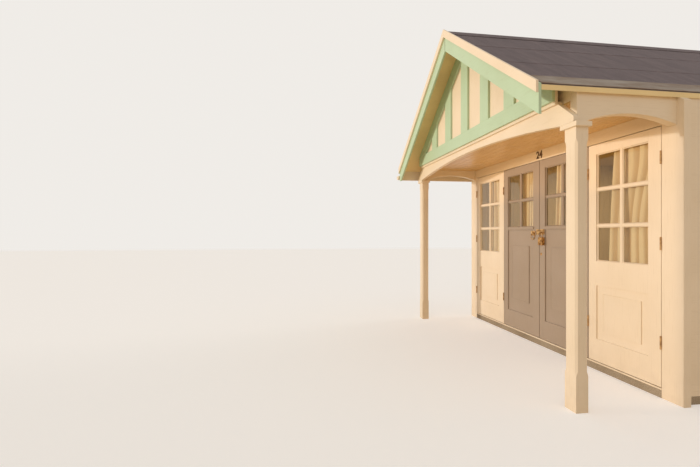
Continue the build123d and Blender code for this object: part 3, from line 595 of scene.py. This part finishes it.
def beads(name, leaf, glass, material, body, rows, margin, foot, head):
    """Edge of a leaf's panel field, margin from the stiles, and the putty of its two columns of
    panes, which share the light between the stiles less the bars."""
    left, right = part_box(leaf)[0].x + rebated_stile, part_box(leaf)[1].x - stile
    bottom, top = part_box(glass)[0].z - glass_clearance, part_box(glass)[1].z + glass_clearance
    pane_width = (right - left - bar) / 2
    pane_height = (top - bottom - (rows - 1) * bar) / rows
    frames = [mitred(left + margin, right - margin, foot, head, field_edge)]
    for column in range(2):
        for row in range(rows):
            x, z = left + column * (pane_width + bar), bottom + row * (pane_height + bar)
            frames.append(mitred(x, x + pane_width, z, z + pane_height, putty_edge))
    return repeated(name, np.array(frames), material, body, sharp=32, rows_closed=True)


for hand in ("left", "right"):
    beads("side_beads_" + hand, "side_leaf_" + hand, "side_glass", cream_upright, "hut",
          rows=3, margin=0.070, foot=0.356, head=0.702)
for hand in ("left", "right"):
    beads("door_beads_" + hand, "door_leaf_" + hand, "door_glass_" + hand, dove_paint,
          "door_" + hand, rows=2, margin=0.092, foot=0.430, head=1.096)


# Glass of the leaves: clear window glass, 4 mm thick, bedded in the putty.
# A little dust and salt from the sea air dulls it, and it lets light and shadows through plainly.
# The amber tint of its reflections is painted warm light.
def any_ray(tree, *kinds):
    """1 for rays of any of these kinds and 0 for the others."""
    rays = tree.nodes.new("ShaderNodeLightPath")
    total = rays.outputs[kinds[0]]
    for kind in kinds[1:]:
        either = tree.nodes.new("ShaderNodeMath")
        either.operation = "MAXIMUM"
        tree.links.new(total, either.inputs[0])
        tree.links.new(rays.outputs[kind], either.inputs[1])
        total = either.outputs["Value"]
    return total


def chosen(tree, share, first, last):
    """Shader that is first where share is 0 and last where it is 1."""
    node = tree.nodes.new("ShaderNodeMixShader")
    for socket, value in zip(node.inputs, (share, first, last)):
        tree.links.new(value, socket)
    return node.outputs["Shader"]


glass, tree, shader = new_material("window_glass", 0.03)
shader.inputs["Base Color"].default_value = (0.93, 0.95, 0.92, 1)
shader.inputs["Transmission Weight"].default_value = 1.0
shader.inputs["IOR"].default_value = 1.45
# Painted warm light: an amber tint on the glass's reflections.
shader.inputs["Specular Tint"].default_value = (0.80, 0.68, 0.46, 1)
clear = tree.nodes.new("ShaderNodeBsdfTransparent")
clear.inputs["Color"].default_value = (0.86, 0.87, 0.84, 1)
pane = chosen(tree, any_ray(tree, "Is Shadow Ray", "Is Diffuse Ray"), shader.outputs["BSDF"],
              clear.outputs["BSDF"])
tree.links.new(pane, tree.nodes["Material Output"].inputs["Surface"])
for node in ("side_glass", "door_glass_left", "door_glass_right"):
    finish_node(node, glass)

# Curtains: unlined cream cotton, gathered on the rods behind the glass.
# Each falls in soft uneven folds, and its free edge leans towards the rod's end at the top.
cloth, tree, shader = new_material("cream_cotton", 0.92)
# Painted light and shade: the cloth is lighter on the crests of its folds and darker in the hollows.
fold = tree.nodes.new("ShaderNodeAttribute")
fold.attribute_name = "fold"
shade = ramp(tree, fold.outputs["Fac"], 0.05, 0.85, (0.70, 0.46, 0.24), (0.95, 0.73, 0.46))
tree.links.new(shade, shader.inputs["Base Color"])
shader.inputs["Sheen Weight"].default_value = 0.1
relief(tree, shader, noise(tree, 900, detail=2), strength=0.4, depth=0.0004)


def hang(name, node, body, x0, x1, lean, folds, seed, swell=1.0, drift=1.0):
    """Curtain from x0 to x1: waves along the width u that go down the drop v.

    The phase makes one turn for each fold. Two sines of u make the folds uneven, and two slow sines
    of v, times drift, let them wander. The wave is the hyperbolic tangent of the phase's sine with
    a share of its double, which flattens the tops. It stands 6.2 mm off the rod's plane at the top
    and 9.6 mm at the foot, times swell. At the top the left edge starts further in, by lean.
    """
    low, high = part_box(node)
    foot, head = low.z + 0.002, high.z - 0.001
    u, v = np.meshgrid(np.linspace(0, 1, 320), np.linspace(0, 1, 90), indexing="ij")
    z = head - v * (head - foot)
    left = x0 + lean * (1 - v) ** 1.3
    uneven = u + 0.045 * (np.sin(5.1 * u + seed) - math.sin(seed)) + 0.022 * np.sin(11.3 * u)
    sway = 0.34 * np.sin(1.7 * v + seed + 3.0 * u)
    sway = drift * (sway + 0.24 * np.sin(4.3 * v * (1 + 0.4 * u) + 2 * seed))
    turns = folds * uneven + sway * np.sqrt(u) * (1 - 0.6 * v)
    phase = 2 * math.pi * turns - math.pi / 2
    x = left + u * (x1 - left) + 0.005 * np.sin(phase + 0.9) * v * np.sin(math.pi * u)
    wave = np.tanh(1.5 * np.sin(phase) + 0.35 * np.sin(2 * phase + 2.2 * v + seed))
    y = (low.y + high.y) / 2 + swell * (0.0062 + 0.0034 * v ** 0.6) * wave
    points = np.stack([x, y, z], -1)
    piece = surface(name, points, cloth, body, sharp=180)
    # The fold attribute is 1 on the crests towards the glass and 0 in the hollows behind, for the
    # cloth's painted light and shade.
    shade = piece.data.attributes.new("fold", "FLOAT", "POINT")
    shade.data.foreach_set("value", (0.5 - 0.5 * wave).ravel())
    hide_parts(node)


low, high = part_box("side_curtains")
hang("curtain_side_left", "side_curtains", "hut",
     low.x + 0.062, low.x + 0.450, lean=0.022, folds=4.3, seed=0.7, swell=0.45)
hang("curtain_side_right", "side_curtains", "hut",
     high.x - 0.468, high.x - 0.002, lean=0.060, folds=4.4, seed=2.1, swell=0.85, drift=2.2)
for hand, folds, seed in (("left", 4.2, 3.3), ("right", 5.8, 4.6)):
    node = "door_curtain_" + hand
    low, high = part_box(node)
    hang("curtain_door_" + hand, node, "door_" + hand,
         low.x + 0.002, high.x - 0.002, lean=0.018, folds=folds, seed=seed)


# Hinges and curtain rods: brass butts let into the edges of the leaves, and 8 mm brass rods.
# The knuckles are dull brown where old paint and salt have stained them.
def metal(name, dark, bright, dull, shiny, scale=38, metallic=0.85):
    """Metal that goes from dark and dull to bright and shiny in patches of noise, with fine dents."""
    material, tree, shader = new_material(name, 0.4, metallic)
    patches = noise(tree, scale, detail=7)
    tree.links.new(ramp(tree, patches, 0.36, 0.66, dark, bright), shader.inputs["Base Color"])
    tree.links.new(spread(tree, patches, 0.35, 0.7, dull, shiny), shader.inputs["Roughness"])
    relief(tree, shader, noise(tree, scale * 9, detail=3), strength=0.25, depth=0.0004)
    return material


stained_brass = metal("stained_brass", (0.40, 0.23, 0.10), (0.70, 0.45, 0.21), 0.62, 0.42,
                      metallic=0.55)
for node in ("side_hinges", "fixed_hinge_halves", "door_hinges_left", "door_hinges_right",
             "side_curtain_rods", "door_curtain_rod_left", "door_curtain_rod_right"):
    finish_node(node, stained_brass)

# Hasp and padlock: a brass hasp and its plate, held by domed screws and rubbed bright by hands, and a
# darker tarnished padlock that hangs from the staple by its shackle. A boss is on it, and its
# keyhole is a dark disc of painted shade.
hand_brass = metal("hand_worn_brass", (0.36, 0.17, 0.05), (0.92, 0.60, 0.25), 0.50, 0.24, scale=46)
# Painted shade: a near-black finish for discs that stand where the keyholes' hollows would be.
painted_keyhole_shade = mottled("painted_keyhole_shade", 0.6, 0.4, 300, 0.3, 0.7, (0.03, 0.015, 0.008),
                    (0.10, 0.055, 0.025))[0]
lock_brass = metal("tarnished_lock_brass", (0.26, 0.11, 0.03), (0.80, 0.44, 0.14), 0.52, 0.30,
                   scale=40)
cast_edge = 0.003
eased("door_hasp", crisp_edge, hand_brass, "door_right")
eased("hasp_plate_left", crisp_edge, hand_brass, "door_left")
eased("padlock", cast_edge, lock_brass, "door_right")

domed_head = ((0.0046, -0.0004), (0.0046, 0.0005), (0.0040, 0.0013), (0.0026, 0.0019),
              (0.0010, 0.0021))
screw_inset = 0.010
plate_low, plate_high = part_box("hasp_plate_left")
low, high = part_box("door_hasp")
levels = (low.z + screw_inset, high.z - screw_inset)
hasp_columns = (low.x + screw_inset, high.x - 0.008)
plate_columns = (plate_low.x + screw_inset, plate_high.x - screw_inset)
turned("hasp_screws", [(x, plate_low.y, z) for x in hasp_columns for z in levels],
       domed_head, 14, hand_brass, "door_right")
turned("plate_screws", [(x, plate_low.y, z) for x in plate_columns for z in levels],
       domed_head, 14, hand_brass, "door_left")
low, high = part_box("padlock")
middle = (low.x + high.x) / 2
boss = ((0.019, -0.0005), (0.019, 0.0010), (0.0175, 0.0018), (0.0150, 0.0018), (0.0140, 0.0010),
        (0.0040, 0.0008))
turned("padlock_boss", [(middle, low.y, low.z + 0.036)], boss, 36, lock_brass, "door_right")
turned("padlock_keyhole", [(middle, low.y - 0.0008, low.z + 0.038)],
       ((0.0050, 0.0), (0.0050, 0.0006), (0.0046, 0.0008)), 20, painted_keyhole_shade, "door_right")

# Ring pull of the left door: a pressed brass plate with rounded corners, held by four domed screws.
# A ring of 8 mm brass wire hangs from the boss in its middle.
plate_half_width = 0.044
plate_half_height = 0.027
corner_radius = 0.010
ring_radius = 0.034
ring_drop = 0.036
ring_plane = leaf_face - 0.0085
wire_radius = 0.0040
pull_screw_inset = 0.008
low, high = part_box("door_pull")
centre_x, centre_z = (low.x + high.x) / 2, high.z - plate_half_height
# A section of the plate is four quarter circles round its corners, taken in and up towards the
# middle of the plate as edge_in and edge_up say.
edge_in = np.array([0.0, 0.0, 0.0005, 0.0020, 0.0060, 0.0080])[:, None, None]
edge_up = np.array([0.0, 0.0022, 0.0034, 0.0042, 0.0042, 0.0034])[:, None, None]
turn = np.linspace(0, math.pi / 2, 6) + np.arange(4)[:, None] * math.pi / 2
corner_x = (plate_half_width - corner_radius) * np.array([[1], [-1], [-1], [1]])
corner_z = (plate_half_height - corner_radius) * np.array([[1], [1], [-1], [-1]])
plate_x = centre_x + corner_x + (corner_radius - edge_in) * np.cos(turn)
plate_z = centre_z + corner_z + (corner_radius - edge_in) * np.sin(turn)
plate_y = np.broadcast_to(leaf_face - edge_up, plate_x.shape)
plate = np.stack([plate_x, plate_y, plate_z], -1).reshape(len(edge_in), -1, 3)
pull = surface("pull_plate", plate, hand_brass, "door_left", wrap=True, ends=True)
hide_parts("door_pull")
# The ring is a torus: a circle of the wire carried round a circle of the ring.
around, tube = np.meshgrid(np.linspace(0, 2 * math.pi, 64),
                           np.linspace(0, 2 * math.pi, 16, endpoint=False), indexing="ij")
reach = ring_radius + wire_radius * np.cos(tube)
ring = np.stack([centre_x + reach * np.cos(around), ring_plane + wire_radius * np.sin(tube),
                 centre_z - ring_drop + reach * np.sin(around)], -1)
ring[-1] = ring[0]
pull_ring = surface("pull_ring", ring, hand_brass, "door_left", wrap=True)
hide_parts("door_pull")
knob = ((0.011, -0.0005), (0.011, 0.006), (0.0095, 0.0095), (0.006, 0.0113), (0.001, 0.0118))
turned("pull_boss", [(centre_x, leaf_face - 0.0035, centre_z - 0.002)], knob, 28, hand_brass,
       "door_left")
screw_x, screw_z = plate_half_width - pull_screw_inset, plate_half_height - pull_screw_inset
turned("pull_screws", [(centre_x + i * screw_x, leaf_face - 0.0034, centre_z + j * screw_z)
                       for i in (-1, 1) for j in (-1, 1)],
       domed_head, 14, hand_brass, "door_left")

# Keyhole of the right door: a small round cover of tarnished brass over the lock; its slot is a dark
# disc of painted shade.
# It is pinned to the meeting stile below the padlock.
keyhole_x, keyhole_z = 0.032, 1.020
cover = ((0.016, -0.0003), (0.016, 0.0012), (0.014, 0.0024), (0.006, 0.0026))
turned("keyhole_cover", [(keyhole_x, leaf_face, keyhole_z)], cover, 28, lock_brass, "door_right")
turned("keyhole", [(keyhole_x, leaf_face - cover[-1][1], keyhole_z)],
       ((0.0042, -0.0002), (0.0042, 0.0003), (0.004, 0.0004)), 16, painted_keyhole_shade, "door_right")

# Number over the doors: two plain cut figures of dark bronze, pinned to the head.
# The figures stand for any hut's number.
bronze = mottled("dark_bronze", 0.5, 0.6, 50, 0.35, 0.7, (0.07, 0.04, 0.02), (0.16, 0.09, 0.04),
                 detail=5)[0]
figure_level = 2.125
figure_face = leaf_face - 0.0018
words = bpy.data.curves.new("figures", "FONT")
words.body = "24"
words.size = 0.112
words.extrude = 0.0015
words.offset = 0.0022
words.bevel_depth = 0.0004
words.align_x = "CENTER"
words.align_y = "CENTER"
text = bpy.data.objects.new("figures", words)
bpy.context.collection.objects.link(text)
figures = bpy.data.meshes.new_from_object(
    text.evaluated_get(bpy.context.evaluated_depsgraph_get()))
bpy.data.objects.remove(text)
# The text lies flat: its X stays, its Y goes up and its thickness comes forward.
flat = np.empty(len(figures.vertices) * 3)
figures.vertices.foreach_get("co", flat)
flat = flat.reshape(-1, 3)
upright = np.stack([flat[:, 0], figure_face - flat[:, 2], figure_level + flat[:, 1]], -1)
figures.vertices.foreach_set("co", upright.ravel())
mounted(figures, "number_plate_figures", bronze, "hut")

# Studio round the hut, which isn't part of it: a plain pale floor and backdrop under soft warm light.
# Rays from the camera, from gloss and through glass see both plainly; other rays see them warmer.
scene = bpy.context.scene
scene.view_settings.view_transform = "Standard"
seen = ("Is Camera Ray", "Is Glossy Ray", "Is Transmission Ray")
pale, tree, shader = new_material("pale_floor", 0.9)
shader.inputs["Base Color"].default_value = (0.87, 0.67, 0.42, 1)
plain = tree.nodes.new("ShaderNodeBsdfDiffuse")
plain.inputs["Color"].default_value = (0.86, 0.85, 0.84, 1)
lift = tree.nodes.new("ShaderNodeEmission")
lift.inputs["Color"].default_value = (0.97, 0.97, 0.97, 1)
lift.inputs["Strength"].default_value = 0.32
both = tree.nodes.new("ShaderNodeAddShader")
tree.links.new(plain.outputs["BSDF"], both.inputs[0])
tree.links.new(lift.outputs["Emission"], both.inputs[1])
ground_shader = chosen(tree, any_ray(tree, *seen), shader.outputs["BSDF"], both.outputs["Shader"])
tree.links.new(ground_shader, tree.nodes["Material Output"].inputs["Surface"])
half = 30.0
corners = np.array([[[-half, half, 0], [-half, -half, 0]], [[half, half, 0], [half, -half, 0]]])
ground = surface("studio_floor", corners, pale, "hut", sharp=None)

world = bpy.data.worlds.new("studio")
scene.world = world
world.use_nodes = True
tree = world.node_tree
sky = tree.nodes["Background"]
sky.inputs["Color"].default_value = (1.0, 0.91, 0.80, 1)
sky.inputs["Strength"].default_value = 0.52
backdrop = tree.nodes.new("ShaderNodeBackground")
backdrop.inputs["Color"].default_value = (0.87, 0.84, 0.80, 1)
world_shader = chosen(tree, any_ray(tree, *seen), sky.outputs["Background"],
                      backdrop.outputs["Background"])
tree.links.new(world_shader, tree.nodes["World Output"].inputs["Surface"])


# Lamps: a low warm key from the front with a wider glow beside it, a fill from the front right and a
# soft light from behind. One in the veranda shines up, for the light that the ground gives back, and
# one hangs in the room. Only their light shows.
def lamp(name, kind, energy, colour, place, aim, size, depth=None):
    """Lamp at place, turned by the bearing and the dip of the line to aim.

    Size is a sun's angle, or else the width of a rectangle that is depth deep.
    """
    light = bpy.data.lights.new(name, kind)
    light.energy = energy
    light.color = colour
    if kind == "SUN":
        light.angle = size
    else:
        light.shape = "RECTANGLE"
        light.size = size
        light.size_y = depth or size
    holder = bpy.data.objects.new(name, light)
    holder.visible_camera = False
    holder.visible_glossy = False
    holder.visible_transmission = False
    east, north, up = np.array(aim, float) - np.array(place, float)
    dip = math.atan2(-up, math.hypot(east, north))
    holder.rotation_euler = (math.pi / 2 - dip, 0, math.atan2(north, east) - math.pi / 2)
    holder.location = place
    bpy.context.collection.objects.link(holder)


lamp("key", "SUN", 1.0, (1.0, 0.95, 0.90), place=(-2.0, -9.0, 1.64), aim=(-0.45, -1.2, 1.18),
     size=math.radians(1.6))
lamp("glow", "SUN", 0.80, (1.0, 0.76, 0.50), place=(-1.6, -9.0, 1.25), aim=(-0.45, -1.2, 1.20),
     size=math.radians(9))
lamp("fill", "SUN", 0.34, (1.0, 0.84, 0.68), place=(7.5, -6.5, 4.5), aim=(0.8, -1.5, 1.4),
     size=math.radians(31))
lamp("back", "SUN", 0.8, (1.0, 0.94, 0.86), place=(-3.0, 9.0, 3.0), aim=(-0.2, 1.2, 1.2),
     size=math.radians(25))
lamp("veranda", "AREA", 3.0, (1.0, 0.60, 0.24), place=(0.0, -1.62, 1.62), aim=(0.0, -1.62, 2.3),
     size=0.5, depth=2.6)
lamp("room", "AREA", 15, (1.0, 0.74, 0.36), place=(0.0, 0.3, 2.25), aim=(0.0, 0.31, 0.2), size=1.8)
